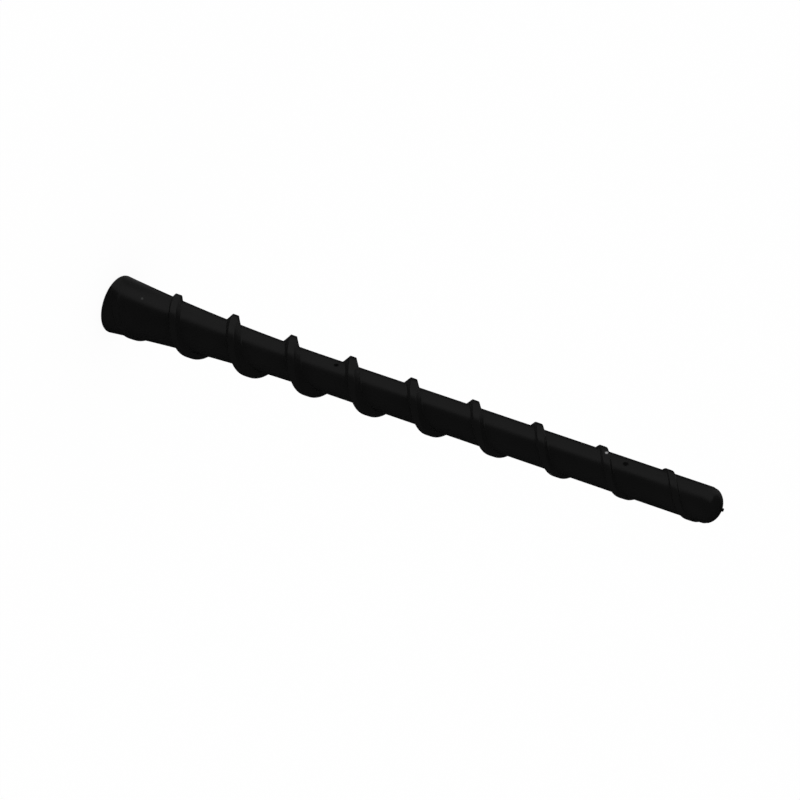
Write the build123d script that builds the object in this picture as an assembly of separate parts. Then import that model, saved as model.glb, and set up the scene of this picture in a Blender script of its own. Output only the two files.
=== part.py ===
from build123d import *
from math import atan2, ceil, cos, degrees, radians, tan
import os

# A short rubber mast aerial for a car roof, standing on its foot.
# Origin at the centre of the foot's rim, +Z up the mast. Sizes in millimetres.

# Rubber sheath
mast_length = 180.0  # from the rim of the foot to the crown of the tip
base_diameter = 16.8  # across the foot at its rim
shank_diameter = 9.6  # straight upper stretch, between the turns of the rib
flare_length = 66.0  # from the rim to where the flare has become the shank
flare_cones = 6  # short cones that follow the flare's curve to within 0.03 mm
rim_chamfer = 0.6  # on the outer edge of the rim
tip_height = 3.9  # height of the domed tip
gate_diameter = 0.9  # moulding stub on the crown
gate_height = 0.5
cup_diameter = 12.0  # shallow cup in the foot, over the boss of the roof base
cup_depth = 1.5

# Helical rib, right-handed, on a crest that tapers from the foot to the tip
rib_pitch = 18.3
rib_angle = 194.4  # where the rib passes the height of the rim, turned from +X about +Z
rib_land = 1.85  # width of the flat crest, measured along the mast
rib_flank_run = 0.62  # run of each flank along the mast for 1 mm of depth
rib_foot_sink = 0.15  # depth of the crest's cone under the surface at the rim
rib_tip_height = 0.4  # height of the crest over the shank where the dome starts
rib_run_out = 2.0  # below the dome, where the rib starts to run out
rib_crown_sink = 0.3  # depth under the crown of the dome that the rib runs out on
rib_trim_margin = 0.3  # room between the crest and that dome at its foot
rib_root_overlap = 0.6  # how far the rib's root reaches into the sheath

# Ferrule, turned brass
thread_diameter = 5.0  # outer diameter of the stud it screws on to
thread_pitch = 0.8
thread_depth = 10.0  # full-width depth of the tapped hole
tap_point_angle = 118.0  # drill point at the bottom of the tapped hole
mouth_chamfer = 0.5
head_diameter = 10.0
head_length = 8.0
groove_diameter = 7.6  # the rubber grips in this groove
groove_width = 2.0
collar_diameter = 9.0
collar_length = 4.0
neck_length = 11.0  # as thick as the rod, so that the winding runs on to it
socket_diameter = 3.4  # takes the spigot of the rod
socket_depth = 7.0

# Core rod, winding and sleeve
rod_diameter = 4.6
rod_cover = 8.0  # rubber over the end of the rod, under the crown
spigot_end_gap = 0.3
rod_chamfer = 0.4
wire_diameter = 0.6
winding_foot_gap = 1.5  # between the collar and the first turn
winding_tip_gap = 4.0  # between the last turn and the end of the rod
sleeve_wall = 0.4

# Worked-out radii and heights
base_radius = base_diameter / 2
shank_radius = shank_diameter / 2
rod_radius = rod_diameter / 2
head_top = cup_depth + head_length
groove_top = head_top + groove_width
collar_top = groove_top + collar_length
neck_top = collar_top + neck_length
rod_top = mast_length - rod_cover
dome_start = mast_length - tip_height
rib_foot_radius = base_radius - rib_foot_sink
rib_tip_radius = shank_radius + rib_tip_height
rib_root_radius = shank_radius - rib_root_overlap
rib_taper = (rib_tip_radius - rib_foot_radius) / dome_start
sleeve_bore_radius = rod_radius + wire_diameter
sleeve_radius = sleeve_bore_radius + sleeve_wall


def turned(*outline):
    """Solid of revolution about the mast from a closed outline of (radius, height) edges."""
    return revolve(make_face(Plane.XZ * Curve(outline)), Axis.Z)


def domed_outline(shaft, top_radius, top, crown):
    """Close an outline: a quarter ellipse from the top of the shaft to the crown, and the axis."""
    dome = EllipticalCenterArc((0, top), top_radius, crown - top, 0, arc_size=90)
    return *shaft, dome, Line((0, crown), shaft[0] @ 0)


def flare_points():
    """Ends of the short cones that follow the flare's parabola, from the rim up to the shank."""
    for step in range(flare_cones + 1):
        fall = 1 - step / flare_cones
        yield shank_radius + (base_radius - shank_radius) * fall**2, flare_length * (1 - fall)


def sheath_core():
    """The sheath without its rib: chamfered rim, flare, straight shank, domed tip and gate stub."""
    side = Polyline((0, 0), *flare_points(), (shank_radius, dome_start))
    core = turned(*domed_outline(side.edges(), shank_radius, dome_start, mast_length))
    core = chamfer(core.edges().group_by(Axis.Z)[0], rim_chamfer)
    return core + upright(gate_diameter / 2, dome_start, mast_length + gate_height)


def rib_section(middle):
    """Corners (radius, height) of the rib's trapezium where its middle is at this height."""
    crest = rib_foot_radius + rib_taper * middle
    root_half = rib_land / 2 + rib_flank_run * (crest - rib_root_radius)
    return (
        (crest, middle - rib_land / 2),
        (crest, middle + rib_land / 2),
        (rib_root_radius, middle + root_half),
        (rib_root_radius, middle - root_half),
    )


def rib_rail(low, high, turns):
    """Conical helix about the mast from one (radius, height) to another in so many turns."""
    rise = high[1] - low[1]
    lean = atan2(high[0] - low[0], rise)
    pitch = rise / turns / cos(lean)
    return Helix(pitch, rise, low[0], center=(0, 0, low[1]), cone_angle=degrees(lean))


def rib():
    """The helical rib: ruled faces between four rails, cut off at the rim, run out on the tip."""
    start = -rib_pitch / 2
    spans = ceil((mast_length - 2 * start) / rib_pitch)
    sections = [rib_section(start + span * rib_pitch) for span in range(spans + 1)]
    faces = [Face(Plane.XZ * Polyline(*end, close=True)) for end in (sections[0], sections[-1])]
    for low, high in zip(sections, sections[1:]):
        rails = [rib_rail(*corner, turns=1) for corner in zip(low, high)]
        for rail, next_rail in zip(rails, rails[1:] + rails[:1]):
            faces.append(Face.make_surface_from_curves(rail, next_rail))
    coil = Rot(0, 0, rib_angle + 360 * start / rib_pitch) * Solid(Shell(faces))

    run_out = dome_start - rib_run_out
    room_radius = rib_tip_radius + rib_trim_margin
    side = Polyline(
        (0, rim_chamfer), (rib_foot_radius + rib_trim_margin, rim_chamfer), (room_radius, run_out)
    )
    crown = mast_length - rib_crown_sink
    return coil & turned(*domed_outline(side.edges(), room_radius, run_out, crown))


def ferrule_blank():
    """Outside of the ferrule: head, groove, collar and neck, before it is drilled."""
    steps = (
        (head_diameter, cup_depth, head_top),
        (groove_diameter, head_top, groove_top),
        (collar_diameter, groove_top, collar_top),
        (rod_diameter, collar_top, neck_top),
    )
    outline = [(0, cup_depth)]
    for diameter, low, high in steps:
        outline += [(diameter / 2, low), (diameter / 2, high)]
    outline.append((0, neck_top))
    return turned(*Polyline(*outline, close=True).edges())


def tapped_hole():
    """Bore of the female thread at its tapping size, with a chamfered mouth and a drill point."""
    radius = (thread_diameter - thread_pitch) / 2
    mouth_radius = radius + mouth_chamfer
    bottom = cup_depth + thread_depth
    point = bottom + radius / tan(radians(tap_point_angle / 2))
    outline = Polyline(
        (0, cup_depth),
        (mouth_radius, cup_depth),
        (radius, cup_depth + mouth_chamfer),
        (radius, bottom),
        (0, point),
        close=True,
    )
    return turned(*outline.edges())


def upright(radius, low, high):
    """A cylinder on the axis of the mast between two heights."""
    return Pos(0, 0, low) * Cylinder(
        radius, high - low, align=(Align.CENTER, Align.CENTER, Align.MIN)
    )


def ferrule():
    socket = upright(socket_diameter / 2, neck_top - socket_depth, neck_top)
    return ferrule_blank() - tapped_hole() - socket


def core_rod():
    """Glass-fibre rod with a turned-down spigot that sits in the ferrule's socket."""
    shaft = upright(rod_radius, neck_top, rod_top)
    shaft = chamfer(shaft.edges().group_by(Axis.Z)[-1], rod_chamfer)
    spigot = upright(socket_diameter / 2, neck_top - socket_depth + spigot_end_gap, neck_top)
    return shaft + spigot


def antenna_winding():
    """The close-wound wire, turn against turn, from the ferrule's neck to near the rod's end."""
    low = collar_top + winding_foot_gap
    high = rod_top - winding_tip_gap
    return upright(rod_radius + wire_diameter, low, high) - upright(rod_radius, low, high)


def sleeve_blank():
    return upright(sleeve_radius, collar_top, rod_top)


def shrink_sleeve():
    return sleeve_blank() - upright(sleeve_bore_radius, collar_top, rod_top)


def rubber_sheath():
    """The moulded cover: core and rib, hollow where the ferrule and the sleeve lie in it."""
    cup = upright(cup_diameter / 2, 0, cup_depth)
    return sheath_core() + rib() - cup - ferrule_blank() - sleeve_blank()


os.makedirs("parts", exist_ok=True)
for make in (rubber_sheath, ferrule, core_rod, antenna_winding, shrink_sleeve):
    export_step(make(), f"parts/{make.__name__}.step")
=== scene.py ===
"""Looks of a short rubber mast aerial for a car roof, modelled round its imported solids.

The mast stands on its foot. The photograph shows it lying, so the camera is rolled on to its side.
"""
from math import asin, atan2, ceil, cos, hypot, pi, radians, sin, sqrt, tan, tau

import bmesh
import bpy
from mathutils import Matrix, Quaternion, Vector


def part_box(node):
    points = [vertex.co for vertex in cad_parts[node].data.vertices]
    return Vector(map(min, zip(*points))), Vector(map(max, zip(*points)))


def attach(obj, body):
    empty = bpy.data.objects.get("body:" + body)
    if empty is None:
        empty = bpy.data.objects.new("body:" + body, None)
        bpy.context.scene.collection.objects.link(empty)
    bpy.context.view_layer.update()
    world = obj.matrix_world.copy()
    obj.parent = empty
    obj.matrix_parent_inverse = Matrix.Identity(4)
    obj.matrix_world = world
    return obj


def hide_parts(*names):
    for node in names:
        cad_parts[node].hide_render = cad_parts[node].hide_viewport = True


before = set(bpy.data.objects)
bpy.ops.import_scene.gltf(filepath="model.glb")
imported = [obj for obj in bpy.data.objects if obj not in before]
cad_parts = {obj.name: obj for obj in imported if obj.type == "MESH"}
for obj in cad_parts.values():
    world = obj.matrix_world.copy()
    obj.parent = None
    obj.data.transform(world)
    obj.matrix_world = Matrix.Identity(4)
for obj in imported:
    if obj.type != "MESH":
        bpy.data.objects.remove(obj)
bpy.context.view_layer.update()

# Sizes in millimetres, as on the solids; each finished mesh is scaled to metres
MM = 0.001
sheath_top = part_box("rubber_sheath")[1].z / MM
ferrule_low, ferrule_high = (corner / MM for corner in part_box("ferrule"))
winding_low, winding_high = (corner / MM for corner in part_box("antenna_winding"))
sleeve_low, sleeve_high = (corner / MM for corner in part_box("shrink_sleeve"))

# Sheath
base_radius = 8.4
shank_radius = 4.8
flare_length = 66.0
rim_round = 1.0
tip_height = 3.9
gate_radius = 0.45
gate_height = 0.5
gate_round = 0.12
cup_radius = 6.0
cup_round = 0.2
crown = sheath_top - gate_height
dome_start = crown - tip_height

# Helical rib
rib_pitch = 18.3
rib_angle = radians(194.4)  # where the rib passes the rim's height
rib_land = 1.85  # width of the flat crest
rib_flank_run = 0.62  # run of a flank along the mast for 1 mm of depth
rib_round = 0.09  # of the crest's edges and of the roots
rib_foot_sink = 0.15  # depth of the crest's cone under the surface at the rim
rib_tip_height = 0.4  # height of the crest over the shank where the dome starts
rib_run_out = 2.0  # below the dome, where the rib starts to run out
rib_trim_margin = 0.3  # room between the crest and the dome that it runs out on
rib_crown_sink = 0.3  # depth of that dome under the crown
rubbed_half = 0.52 * rib_land  # half the width that gets rubbed, the crest with its edges
rib_foot_radius = base_radius - rib_foot_sink
rib_tip_radius = shank_radius + rib_tip_height
rib_taper = (rib_tip_radius - rib_foot_radius) / dome_start
run_out = dome_start - rib_run_out
run_out_radius = rib_tip_radius + rib_trim_margin
run_out_crown = crown - rib_crown_sink

# Ferrule
head_length = 8.0
groove_radius = 3.8
groove_width = 2.0
collar_radius = 4.5
neck_radius = 2.3
edge_break = 0.2
thread_radius = 2.5
thread_pitch = 0.8
thread_depth = 10.0
thread_flat = 1 / 6  # share of the pitch that is flat at the groove's bottom, and at the crest
mouth_chamfer = 0.5
tap_point_angle = radians(118)
socket_radius = 1.7
socket_depth = 7.0
face_height = ferrule_low.z
head_radius = ferrule_high.x
head_top = face_height + head_length
groove_top = head_top + groove_width
collar_top = sleeve_low.z
neck_top = ferrule_high.z
bore_radius = (2 * thread_radius - thread_pitch) / 2
thread_top = face_height + thread_depth
drill_point = thread_top + bore_radius / tan(tap_point_angle / 2)
socket_floor = neck_top - socket_depth

# Winding
wire_radius = 0.3
wire_middle = winding_high.x - wire_radius
winding_bore = winding_high.x - 2 * wire_radius

# Fineness of the meshes
skin_columns = 44  # faces across one pitch of the rib
crest_share = 0.3  # share of these columns on the crest
root_share = 0.65  # share of them on the crest and its flanks
least_rise = 0.3  # height that the flanks' columns are spread for where the rib has run out
skin_steps = 72  # faces in a turn round the mast
thread_columns = 8
wire_columns = 4
wire_steps = 30
ring_steps = 8  # rings on a rounded edge
gate_steps = 4  # rings on the stub's small rounding
dome_rings = 12
tent_steps = 64
weld = 1e-4  # points this close become one
cut_weld = 0.02  # points this close become one where a wound wall is cut

# Specks on the skin, two pale ones and two dark ones that are painted shade of small pits: height, angle
# about the mast in degrees, radius, colour, roughness
specks = (
    (10.46, 241.4, 0.45, "#343434", 0.6),
    (148.0, 221.0, 0.5, "#949494", 0.8),
    # The two dark spots are painted shade of small pits
    (69.95, 226.0, 0.8, "#020202", 1.0),
    (153.65, 229.0, 0.9, "#040404", 1.0),
)


# Skin of the sheath

def core_radius(height):
    """Radius of the sheath between the turns of the rib."""
    if height > dome_start:
        return shank_radius * sqrt(max(0, 1 - ((height - dome_start) / tip_height) ** 2))
    fall = max(0, 1 - height / flare_length)
    return shank_radius + (base_radius - shank_radius) * fall**2


def rib_rise(height):
    """How far the rib's crest stands over the core: it grows out of the foot and runs out on the tip."""
    crest = rib_foot_radius + rib_taper * height
    if height > run_out:
        climb = (height - run_out) / (run_out_crown - run_out)
        crest = min(crest, run_out_radius * sqrt(max(0, 1 - climb**2)))
    return max(0, crest - core_radius(height))


def rounded_ramp(depth, rise, rounding):
    """A straight ramp from 0 to its rise, rounded at both ends."""
    return (hypot(depth, rounding) - hypot(depth - rise, rounding) + rise) / 2


def skin_radius(height, offset):
    """Radius of the sheath at a height, so far along the mast from the middle of the nearest rib turn."""
    rise = rib_rise(height)
    depth = (rib_land / 2 + rib_flank_run * rise - abs(offset)) / rib_flank_run
    return core_radius(height) + rounded_ramp(depth, rise, rib_round)


def skin_offset(share, height):
    """Place across the rib's strip: shares -1 to 1 lie close together at the rib's edges and roots."""
    crest_half = rib_land / 2
    root_half = crest_half + rib_flank_run * max(rib_rise(height), least_rise)
    part = abs(share)
    if part < crest_share:
        offset = crest_half * sin(pi / 2 * part / crest_share)
    elif part < root_share:
        climb = (part - crest_share) / (root_share - crest_share)
        offset = crest_half + (root_half - crest_half) * (1 - cos(pi * climb)) / 2
    else:
        climb = (part - root_share) / (1 - root_share)
        offset = root_half + (rib_pitch / 2 - root_half) * (1 - cos(pi / 2 * climb))
    return offset if share > 0 else -offset


def rib_offset(height, turned):
    """How far along the mast a place on the skin lies from the middle of the nearest rib turn."""
    middle = (turned - rib_angle) / tau * rib_pitch
    return (height - middle + rib_pitch / 2) % rib_pitch - rib_pitch / 2


def skin_point(height, angle):
    """Point of the sheath's skin in metres at a height and an angle in degrees about the mast."""
    turned = radians(angle)
    radius = skin_radius(height, rib_offset(height, turned))
    return Vector((radius * cos(turned), radius * sin(turned), height)) * MM


def mark_wear_and_crease_light(bm):
    """Mark the rib's crest, which wiping rubs smooth, and its lower flank, which gets painted light that
    lifts the shade in the crease under the rib.
    """
    rub = bm.verts.layers.float.new("rub")
    painted_crease_light = bm.verts.layers.float.new("painted_crease_light")
    for vert in bm.verts:
        rise = rib_rise(vert.co.z)
        offset = rib_offset(vert.co.z, atan2(vert.co.y, vert.co.x))
        below_crest = -offset - rib_land / 2
        vert[rub] = min(1, rise) if abs(offset) < rubbed_half else 0
        # The lower flank gets painted light, lifting the shade that falls in the crease under the rib
        vert[painted_crease_light] = min(1, rise) if 0 < below_crest < rib_flank_run * rise else 0


# Walls of the thread and of the wire

def thread_offset(share, height):
    """Place across the thread's strip: shares -1 to 1 lie evenly, the same at any height."""
    return share * thread_pitch / 2


def thread_wall(height, offset):
    """Radius of the tapped hole: vee grooves with narrow flats at the crest and the root."""
    across = abs(offset) / (thread_pitch / 2)
    groove = (1 - thread_flat - across) / (1 - 2 * thread_flat)
    return bore_radius + (thread_radius - bore_radius) * min(1, max(0, groove))


def wire_offset(share, height):
    """Place across the wire's strip: shares -1 to 1 lie closer together where the wire curves away."""
    return wire_radius * sin(pi / 2 * share)


def wire_skin(height, offset):
    """Radius of the close-wound turns: the outer half of a round wire."""
    return wire_middle + sqrt(max(0, wire_radius**2 - offset**2))


# Making meshes

def wound_wall(pitch, angle, low, high, columns, turn_steps, offset_at, radius_at):
    """Tube with a screw's surface: a strip one pitch wide, wound edge to edge and cut at both ends.

    angle is where the middle of the strip passes height 0. offset_at(share, height) places the strip's
    columns, and radius_at(height, offset) shapes it. Returns the mesh with its low and high loop.
    """
    start = low - pitch / 2 - pitch / turn_steps
    steps = ceil((high - low + pitch) / pitch * turn_steps) + 2
    bm = bmesh.new()
    bmesh.ops.create_grid(bm, x_segments=columns, y_segments=steps, size=1)
    for vert in bm.verts:
        # Rounding gives whole steps, so that the edges of neighbouring turns meet
        turns = start / pitch + round((vert.co.y + 1) / 2 * steps) / turn_steps
        offset = offset_at(vert.co.x, turns * pitch)
        height = turns * pitch + offset
        radius = radius_at(height, offset)
        turned = angle + tau * turns
        vert.co = radius * cos(turned), radius * sin(turned), height
    bmesh.ops.remove_doubles(bm, verts=bm.verts, dist=weld)
    for height, outwards in ((low, -1), (high, 1)):
        geom = bm.verts[:] + bm.edges[:] + bm.faces[:]
        cut = bmesh.ops.bisect_plane(
            bm, geom=geom, plane_co=(0, 0, height), plane_no=(0, 0, outwards), clear_outer=True, dist=weld
        )["geom_cut"]
        cut_verts = [v for v in cut if isinstance(v, bmesh.types.BMVert)]
        bmesh.ops.remove_doubles(bm, verts=cut_verts, dist=cut_weld)
    rims = [e for e in bm.edges if e.is_boundary]
    loops = [[e for e in rims if abs(e.verts[0].co.z - height) < cut_weld] for height in (low, high)]
    return bm, *loops


def turn_on(bm, loop, outline):
    """Carry a loop round the mast on along an outline of (radius, height) points, as on a lathe."""
    for radius, height in outline:
        made = bmesh.ops.extrude_edge_only(bm, edges=loop)["geom"]
        ring = {v for v in made if isinstance(v, bmesh.types.BMVert)}
        for vert in ring:
            spoke = vert.co.xy.normalized() * radius
            vert.co = spoke.x, spoke.y, height
        loop = [e for e in made if isinstance(e, bmesh.types.BMEdge) and ring.issuperset(e.verts)]
    return loop


def arc(centre, radius, start, end, steps):
    """Points (radius, height) on a circle, after its start, angles in degrees from outwards to upwards."""
    angles = (radians(start + (end - start) * step / steps) for step in range(1, steps + 1))
    return [(centre[0] + radius * cos(a), centre[1] + radius * sin(a)) for a in angles]


def mesh_object(bm, name, material):
    """An object from a finished bmesh, linked to the scene."""
    mesh = bpy.data.meshes.new(name)
    bm.to_mesh(mesh)
    bm.free()
    mesh.materials.append(material)
    thing = bpy.data.objects.new(name, mesh)
    bpy.context.scene.collection.objects.link(thing)
    return thing


def finish_piece(bm, name, material, node, sharp):
    """Make the mesh a piece in metres that rides on the mast and stands for one of its solids.

    sharp is the angle in degrees from which an edge between two faces stays sharp.
    """
    bmesh.ops.remove_doubles(bm, verts=bm.verts, dist=weld)
    bmesh.ops.recalc_face_normals(bm, faces=bm.faces)
    bmesh.ops.scale(bm, vec=(MM, MM, MM), verts=bm.verts)
    piece = mesh_object(bm, name, material)
    piece.data.shade_smooth()
    piece.data.set_sharp_from_angle(angle=radians(sharp))
    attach(piece, "root")
    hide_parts(node)


# Pieces

def rubber_cover():
    """The sheath with its rib, rounded rim, domed tip and gate stub, hollow over the pieces inside."""
    # The rib has run out at a third of the dome's height, and plain rings go on from there
    rib_end = dome_start + tip_height / 3
    cover, rim, tip = wound_wall(
        rib_pitch, rib_angle, rim_round, rib_end, skin_columns, skin_steps, skin_offset, skin_radius
    )
    rim_radius = core_radius(rim_round) - rim_round
    foot = arc((rim_radius, rim_round), rim_round, 0, -90, ring_steps)
    foot += [(cup_radius + cup_round, 0)]
    foot += arc((cup_radius + cup_round, cup_round), cup_round, 270, 180, ring_steps)
    inside = [
        (cup_radius, face_height),
        (head_radius, face_height),
        (head_radius, head_top),
        (groove_radius, head_top),
        (groove_radius, groove_top),
        (collar_radius, groove_top),
        (collar_radius, collar_top),
        (sleeve_high.x, collar_top),
        (sleeve_high.x, sleeve_high.z),
        (0, sleeve_high.z),
    ]
    turn_on(cover, rim, foot + inside)

    dome = []
    first = asin((rib_end - dome_start) / tip_height)
    last = pi / 2 - asin(gate_radius / shank_radius)
    for step in range(1, dome_rings + 1):
        climb = first + (last - first) * step / dome_rings
        dome.append((shank_radius * cos(climb), dome_start + tip_height * sin(climb)))
    stub = [(gate_radius, sheath_top - gate_round)]
    stub += arc((gate_radius - gate_round, sheath_top - gate_round), gate_round, 0, 90, gate_steps)
    turn_on(cover, tip, dome + stub + [(0, sheath_top)])
    mark_wear_and_crease_light(cover)
    finish_piece(cover, "rubber_cover", moulded_rubber(), "rubber_sheath", sharp=40)


def threaded_ferrule():
    """The turned insert with its tapped hole, groove, collar and socketed neck."""
    thread_start = face_height + mouth_chamfer
    insert, mouth, end = wound_wall(
        thread_pitch, 0, thread_start, thread_top, thread_columns, skin_steps, thread_offset, thread_wall
    )
    outside = [
        (bore_radius + mouth_chamfer, face_height),
        (head_radius - edge_break, face_height),
        (head_radius, face_height + edge_break),
        (head_radius, head_top),
        (groove_radius, head_top),
        (groove_radius, groove_top),
        (collar_radius, groove_top),
        (collar_radius, collar_top),
        (neck_radius, collar_top),
        (neck_radius, neck_top),
        (socket_radius, neck_top),
        (socket_radius, socket_floor),
        (0, socket_floor),
    ]
    turn_on(insert, mouth, outside)
    turn_on(insert, end, [(0, drill_point)])
    finish_piece(insert, "threaded_ferrule", plated_brass(), "ferrule", sharp=25)


def wound_wire():
    """The close-wound turns of wire, as one ridged tube round the rod."""
    turns, low, high = wound_wall(
        2 * wire_radius, 0, winding_low.z, winding_high.z, wire_columns, wire_steps, wire_offset, wire_skin
    )
    foot = turn_on(turns, low, [(winding_bore, winding_low.z)])
    head = turn_on(turns, high, [(winding_bore, winding_high.z)])
    bmesh.ops.bridge_loops(turns, edges=foot + head)
    finish_piece(turns, "wound_wire", enamelled_copper(), "antenna_winding", sharp=50)


# Materials

def linear(hex_colour):
    """An sRGB hex colour as linear RGBA."""
    channels = [int(hex_colour[i : i + 2], 16) / 255 for i in (1, 3, 5)]
    return *(c / 12.92 if c <= 0.04045 else ((c + 0.055) / 1.055) ** 2.4 for c in channels), 1


def add(tree, kind, inputs, **settings):
    """Add a node with its settings, each input set to a value or linked from another node's socket.

    Inputs that share a name go by number: a Mix node has its share at 0, its numbers at 2 and 3 and
    its colours at 6 and 7.
    """
    node = tree.nodes.new("ShaderNode" + kind)
    for name, value in settings.items():
        setattr(node, name, value)
    for name, value in inputs.items():
        if isinstance(value, bpy.types.NodeSocket):
            tree.links.new(value, node.inputs[name])
        else:
            node.inputs[name].default_value = value
    return node


def new_material(name):
    """An empty node material, with the object's own coordinates."""
    material = bpy.data.materials.new(name)
    material.use_nodes = True
    material.node_tree.nodes.clear()
    tree = material.node_tree
    return material, tree, add(tree, "TexCoord", {}).outputs["Object"]


def per(millimetres):
    """Texture scale that gives a pattern this size."""
    return 1 / (millimetres * MM)


def moulded_rubber():
    """Rubber filled with carbon black, moulded in a blasted tool: near black and satin, finely grained."""
    material, tree, place = new_material("moulded_black_rubber")
    cloud = add(tree, "TexNoise", {"Vector": place, "Scale": per(14), "Detail": 3.0}).outputs["Fac"]
    colour = add(
        tree, "Mix", {0: cloud, 6: linear("#0b0b0b"), 7: linear("#101010")}, data_type="RGBA"
    ).outputs[2]
    roughness = add(
        tree, "MapRange", {"Value": cloud, "From Min": 0.3, "From Max": 0.7, "To Min": 0.3, "To Max": 0.38}
    ).outputs["Result"]
    # Grain of the blasted mould, drawn about three times as coarse as it is so that it shows
    grain = add(tree, "TexNoise", {"Vector": place, "Scale": per(0.3), "Detail": 2.0}).outputs["Fac"]
    bump = add(tree, "Bump", {"Height": grain, "Strength": 0.5, "Distance": 0.03 * MM}).outputs["Normal"]
    # The rib's crest is rubbed smooth and a little paler in patches about 4 mm long
    patch = add(tree, "TexNoise", {"Vector": place, "Scale": per(4), "Detail": 4.0}).outputs["Fac"]
    crest = add(tree, "Attribute", {}, attribute_name="rub").outputs["Fac"]
    rub = add(tree, "Math", {0: crest, 1: patch}, operation="MULTIPLY").outputs[0]
    # Painted light on the rib's lower flank: a paler, rougher tone that lifts the shade in the crease under
    # the rib
    painted_crease_light = add(tree, "Attribute", {}, attribute_name="painted_crease_light").outputs["Fac"]
    marks = [(rub, "#0f0f0f", 0.24), (painted_crease_light, "#151515", 0.7)]
    # Two pale specks, and two dark spots that are painted shade of small pits, with edges that the grain
    # makes ragged
    ragged = add(
        tree,
        "MapRange",
        {"Value": grain, "From Min": 0.3, "From Max": 0.7, "To Min": -0.15 * MM, "To Max": 0.15 * MM},
    ).outputs["Result"]
    for height, angle, radius, speck_colour, speck_roughness in specks:
        away = add(
            tree, "VectorMath", {0: place, 1: skin_point(height, angle)}, operation="DISTANCE"
        ).outputs["Value"]
        away = add(tree, "Math", {0: away, 1: ragged}, operation="ADD").outputs[0]
        speck = add(
            tree, "MapRange", {"Value": away, "From Min": radius * MM, "From Max": 0.5 * radius * MM}
        ).outputs["Result"]
        marks.append((speck, speck_colour, speck_roughness))
    for share, mark_colour, mark_roughness in marks:
        colour = add(
            tree, "Mix", {0: share, 6: colour, 7: linear(mark_colour)}, data_type="RGBA"
        ).outputs[2]
        roughness = add(tree, "Mix", {0: share, 2: roughness, 3: mark_roughness}).outputs[0]
    shader = add(
        tree,
        "BsdfPrincipled",
        {
            "Base Color": colour,
            "Roughness": roughness,
            "Normal": bump,
            "IOR": 1.5,
            "Specular IOR Level": 0.12,
        },
    )
    add(tree, "OutputMaterial", {"Surface": shader.outputs["BSDF"]})
    return material


def plated_brass():
    """Turned brass with bright nickel plating: warm grey, with fine lathe rings and dull patches."""
    material, tree, place = new_material("nickel_plated_brass")
    cloud = add(tree, "TexNoise", {"Vector": place, "Scale": per(2.5), "Detail": 4.0}).outputs["Fac"]
    dull = add(tree, "MapRange", {"Value": cloud, "From Min": 0.4, "From Max": 0.75}).outputs["Result"]
    colour = add(
        tree, "Mix", {0: dull, 6: linear("#cfcabd"), 7: linear("#b3a98f")}, data_type="RGBA"
    ).outputs[2]
    roughness = add(tree, "MapRange", {"Value": dull, "To Min": 0.16, "To Max": 0.34}).outputs["Result"]
    # Feed marks 0.15 mm apart: rings on the flat faces, and bands up the walls
    flat = add(tree, "VectorMath", {0: place, 1: (1, 1, 0)}, operation="MULTIPLY").outputs["Vector"]
    out = add(tree, "VectorMath", {0: flat}, operation="LENGTH").outputs["Value"]
    up = add(tree, "SeparateXYZ", {"Vector": place}).outputs["Z"]
    feed = add(tree, "Math", {0: out, 1: up}, operation="ADD").outputs[0]
    swing = add(tree, "Math", {0: feed, 1: tau * per(0.15)}, operation="MULTIPLY").outputs[0]
    rings = add(tree, "Math", {0: swing}, operation="SINE").outputs[0]
    bump = add(tree, "Bump", {"Height": rings, "Strength": 0.3, "Distance": 0.006 * MM}).outputs["Normal"]
    shader = add(
        tree,
        "BsdfPrincipled",
        {"Base Color": colour, "Metallic": 1.0, "Roughness": roughness, "Normal": bump},
    )
    add(tree, "OutputMaterial", {"Surface": shader.outputs["BSDF"]})
    return material


def glass_fibre():
    """Pultruded glass fibre in resin: pale straw, with fine streaks along the rod and a ground surface."""
    material, tree, place = new_material("pultruded_glass_fibre")
    # The strands are 0.2 mm across and run on for about 30 mm
    along = add(tree, "Mapping", {"Vector": place, "Scale": (1, 1, 0.2 / 30)}).outputs["Vector"]
    strand = add(tree, "TexNoise", {"Vector": along, "Scale": per(0.2), "Detail": 3.0}).outputs["Fac"]
    colour = add(
        tree, "Mix", {0: strand, 6: linear("#b5ab7d"), 7: linear("#ded7b3")}, data_type="RGBA"
    ).outputs[2]
    roughness = add(tree, "MapRange", {"Value": strand, "To Min": 0.35, "To Max": 0.6}).outputs["Result"]
    bump = add(tree, "Bump", {"Height": strand, "Strength": 0.3, "Distance": 0.02 * MM}).outputs["Normal"]
    shader = add(
        tree,
        "BsdfPrincipled",
        {"Base Color": colour, "Roughness": roughness, "Normal": bump, "IOR": 1.53},
    )
    add(tree, "OutputMaterial", {"Surface": shader.outputs["BSDF"]})
    return material


def enamelled_copper():
    """Copper wire under baked enamel: brown-orange metal, a little different from turn to turn, glossy."""
    material, tree, place = new_material("enamelled_copper")
    # Each length of wire keeps its tone for about three turns
    banded = add(tree, "Mapping", {"Vector": place, "Scale": (0.1, 0.1, 1)}).outputs["Vector"]
    tone = add(tree, "TexNoise", {"Vector": banded, "Scale": per(1.8), "Detail": 2.0}).outputs["Fac"]
    colour = add(
        tree, "Mix", {0: tone, 6: linear("#7d3417"), 7: linear("#b8622f")}, data_type="RGBA"
    ).outputs[2]
    roughness = add(tree, "MapRange", {"Value": tone, "To Min": 0.22, "To Max": 0.36}).outputs["Result"]
    shader = add(
        tree,
        "BsdfPrincipled",
        {
            "Base Color": colour,
            "Metallic": 1.0,
            "Roughness": roughness,
            "Coat Weight": 0.7,
            "Coat Roughness": 0.08,
        },
    )
    add(tree, "OutputMaterial", {"Surface": shader.outputs["BSDF"]})
    return material


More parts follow.
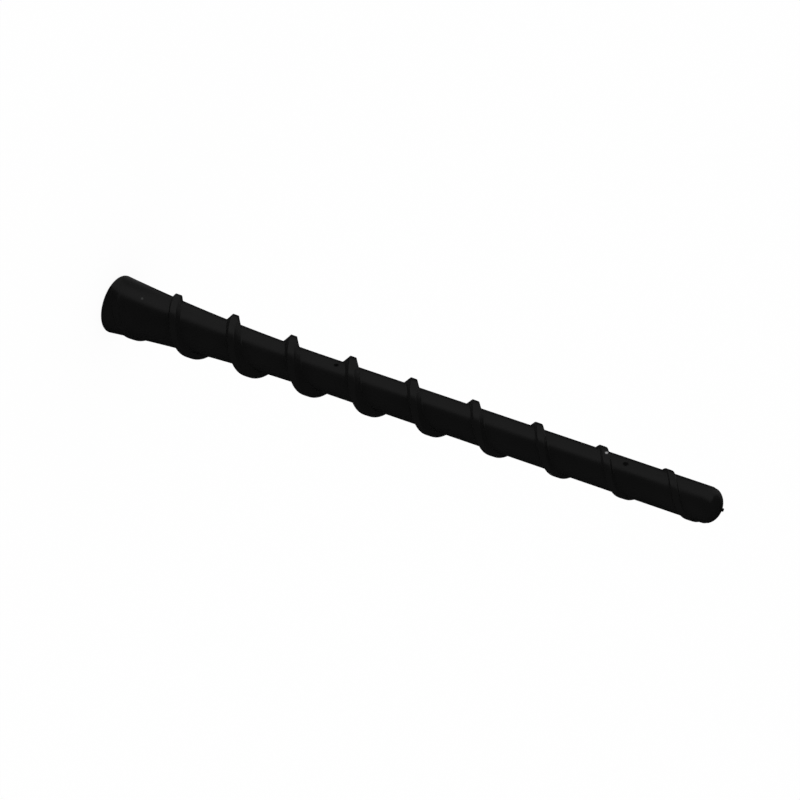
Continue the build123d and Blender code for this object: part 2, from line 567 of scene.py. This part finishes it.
def shrunk_plastic():
    """Black plastic tube shrunk on to the winding: dull, with the turns of wire showing as ridges."""
    material, tree, place = new_material("shrunk_black_plastic")
    pucker = add(tree, "TexNoise", {"Vector": place, "Scale": per(3), "Detail": 3.0}).outputs["Fac"]
    colour = add(
        tree, "Mix", {0: pucker, 6: linear("#101011"), 7: linear("#1b1b1c")}, data_type="RGBA"
    ).outputs[2]
    roughness = add(tree, "MapRange", {"Value": pucker, "To Min": 0.38, "To Max": 0.58}).outputs["Result"]
    up = add(tree, "SeparateXYZ", {"Vector": place}).outputs["Z"]
    swing = add(tree, "Math", {0: up, 1: tau * per(2 * wire_radius)}, operation="MULTIPLY").outputs[0]
    turns = add(tree, "Math", {0: swing}, operation="SINE").outputs[0]
    relief = add(tree, "Math", {0: turns, 1: pucker}, operation="ADD").outputs[0]
    bump = add(tree, "Bump", {"Height": relief, "Strength": 0.5, "Distance": 0.04 * MM}).outputs["Normal"]
    shader = add(
        tree, "BsdfPrincipled", {"Base Color": colour, "Roughness": roughness, "Normal": bump, "IOR": 1.5}
    )
    add(tree, "OutputMaterial", {"Surface": shader.outputs["BSDF"]})
    return material


def white_paper():
    """Matt white paper, which the camera and mirror-like surfaces see as white, with the mast's shadow.

    From below it is clear, so that the underside of the foot can be looked at.
    """
    material, tree, _ = new_material("white_paper")
    path = add(tree, "LightPath", {}).outputs
    sees = path["Is Camera Ray"]
    for ray in ("Is Glossy Ray", "Is Transmission Ray"):
        sees = add(tree, "Math", {0: sees, 1: path[ray]}, operation="MAXIMUM").outputs[0]
    # The rest of the share is lit paper, which carries the shadow
    share = add(tree, "Math", {0: sees, 1: 0.93}, operation="MULTIPLY").outputs[0]
    paper = add(tree, "BsdfDiffuse", {"Color": linear("#f6f6f6")}).outputs["BSDF"]
    white = add(tree, "Emission", {"Color": linear("#ffffff"), "Strength": 1.0}).outputs["Emission"]
    top = add(tree, "MixShader", {"Fac": share, 1: paper, 2: white}).outputs["Shader"]
    clear = add(tree, "BsdfTransparent", {}).outputs["BSDF"]
    below = add(tree, "NewGeometry", {}).outputs["Backfacing"]
    both = add(tree, "MixShader", {"Fac": below, 1: top, 2: clear}).outputs["Shader"]
    add(tree, "OutputMaterial", {"Surface": both})
    return material


def black_cloth(name, shut):
    """Matt black cloth with a window on the mast's left, hard in front, closing softly behind and above.

    shut is the angle about the mast, in degrees, at which the cloth behind the window is dense again.
    """
    material, tree, place = new_material(name)
    # Turn about the mast from +X, as a share of a full turn
    half_turn = add(tree, "Mapping", {"Vector": place, "Rotation": (0, 0, pi)}).outputs["Vector"]
    turn = add(tree, "TexGradient", {"Vector": half_turn}, gradient_type="RADIAL").outputs["Fac"]
    up = add(tree, "SeparateXYZ", {"Vector": place}).outputs["Z"]
    by_foot = add(tree, "VectorMath", {0: place}, operation="LENGTH").outputs["Value"]
    by_card = add(
        tree, "VectorMath", {0: place, 1: (-20 * MM, 26 * MM, 0)}, operation="DISTANCE"
    ).outputs["Value"]
    dense = 0.0
    for value, clear_at, dense_at, most in (
        (turn, 235 / 360, 239 / 360, 1.0),  # front edge of the window
        (turn, 225 / 360, shut / 360, 1.0),  # fade behind it
        (up, 3.4, 5.0, 1.0),  # fade above it, in metres
        (by_foot, 20 * MM, 14 * MM, 0.3),  # thin ring of cloth round the foot
        (by_card, 40 * MM, 30 * MM, 0.8),  # round dark card behind the foot
    ):
        ramp = {"Value": value, "From Min": clear_at, "From Max": dense_at, "To Max": most}
        share = add(tree, "MapRange", ramp).outputs["Result"]
        dense = add(tree, "Math", {0: dense, 1: share}, operation="MAXIMUM").outputs[0]
    clear = add(tree, "BsdfTransparent", {}).outputs["BSDF"]
    cloth = add(tree, "BsdfDiffuse", {"Color": linear("#202020")}).outputs["BSDF"]
    shader = add(tree, "MixShader", {"Fac": dense, 1: clear, 2: cloth}).outputs["Shader"]
    add(tree, "OutputMaterial", {"Surface": shader})
    return material


# Studio

def floor(reach):
    """White floor a hair below the mast's foot."""
    gap = 0.02 * MM
    bm = bmesh.new()
    bmesh.ops.create_grid(bm, x_segments=1, y_segments=1, size=reach)
    bmesh.ops.translate(bm, verts=bm.verts, vec=(0, 0, -gap))
    mesh_object(bm, "floor", white_paper())


def black_tent(reach):
    """Black cloth on the floor and all round, seen only in reflections, as for pictures of glossy black."""
    hole_radius = 7 * MM  # under the foot
    lift = 0.2 * MM  # off the floor
    ground = bmesh.new()
    near = ground.verts.new((hole_radius, 0, lift))
    far = ground.verts.new((reach, 0, lift))
    spoke = ground.edges.new((near, far))
    bmesh.ops.spin(
        ground, geom=[spoke], cent=(0, 0, 0), axis=(0, 0, 1), angle=tau, steps=tent_steps, use_merge=True
    )
    sky = bmesh.new()
    bmesh.ops.create_uvsphere(sky, u_segments=tent_steps, v_segments=tent_steps // 2, radius=reach)
    # The window reaches farther round in the sky than on the floor
    for bm, name, shut in ((ground, "tent_ground", 132), (sky, "tent_sky", 100)):
        tent = mesh_object(bm, name, black_cloth(name + "_cloth", shut))
        tent.visible_camera = False
        tent.visible_diffuse = False
        tent.visible_transmission = False
        tent.visible_shadow = False


def soft_box(place, aim, width, height, watts):
    """A soft lamp at a place, turned to a point, that doesn't show in reflections."""
    light = bpy.data.lights.new("soft_box", "AREA")
    light.shape = "RECTANGLE"
    light.size = width
    light.size_y = height
    light.energy = watts
    box = bpy.data.objects.new("soft_box", light)
    box.location = place
    box.rotation_mode = "QUATERNION"
    box.rotation_quaternion = (Vector(aim) - Vector(place)).to_track_quat("-Z", "Y")
    box.visible_camera = False
    box.visible_glossy = False
    bpy.context.scene.collection.objects.link(box)


def white_room(strength):
    """Even white light from all round."""
    world = bpy.data.worlds.new("white_room")
    world.use_nodes = True
    background = world.node_tree.nodes["Background"].inputs
    background["Color"].default_value = linear("#ffffff")
    background["Strength"].default_value = strength
    bpy.context.scene.world = world


def camera():
    """The photograph's view: from the side and above, rolled so that the mast slopes down to the right."""
    distance = 607.0 * MM
    aim = Vector((0, 0, 88.99 * MM))
    elevation = radians(20.134)
    mast_slope = radians(18.82)
    back = Vector((0, -cos(elevation), sin(elevation)))
    data = bpy.data.cameras.new("camera")
    data.lens = 103.04
    data.clip_start = 0.01
    eye = bpy.data.objects.new("camera", data)
    eye.location = aim + back * distance
    eye.rotation_mode = "QUATERNION"
    upright = (-back).to_track_quat("-Z", "Y")
    eye.rotation_quaternion = upright @ Quaternion((0, 0, 1), pi / 2 + mast_slope)
    bpy.context.scene.collection.objects.link(eye)
    bpy.context.scene.camera = eye


# The mast
rubber_cover()
threaded_ferrule()
wound_wire()
for node, material in (("core_rod", glass_fibre()), ("shrink_sleeve", shrunk_plastic())):
    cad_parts[node].material_slots[0].material = material

# Its surroundings, in metres
floor(reach=10)
black_tent(reach=8)
white_room(strength=1.0)
soft_box(place=(1.1, -0.5, 0.25), aim=(0, 0, 0.09), width=1.5, height=0.5, watts=2.4)
camera()
bpy.context.scene.view_settings.view_transform = "Standard"
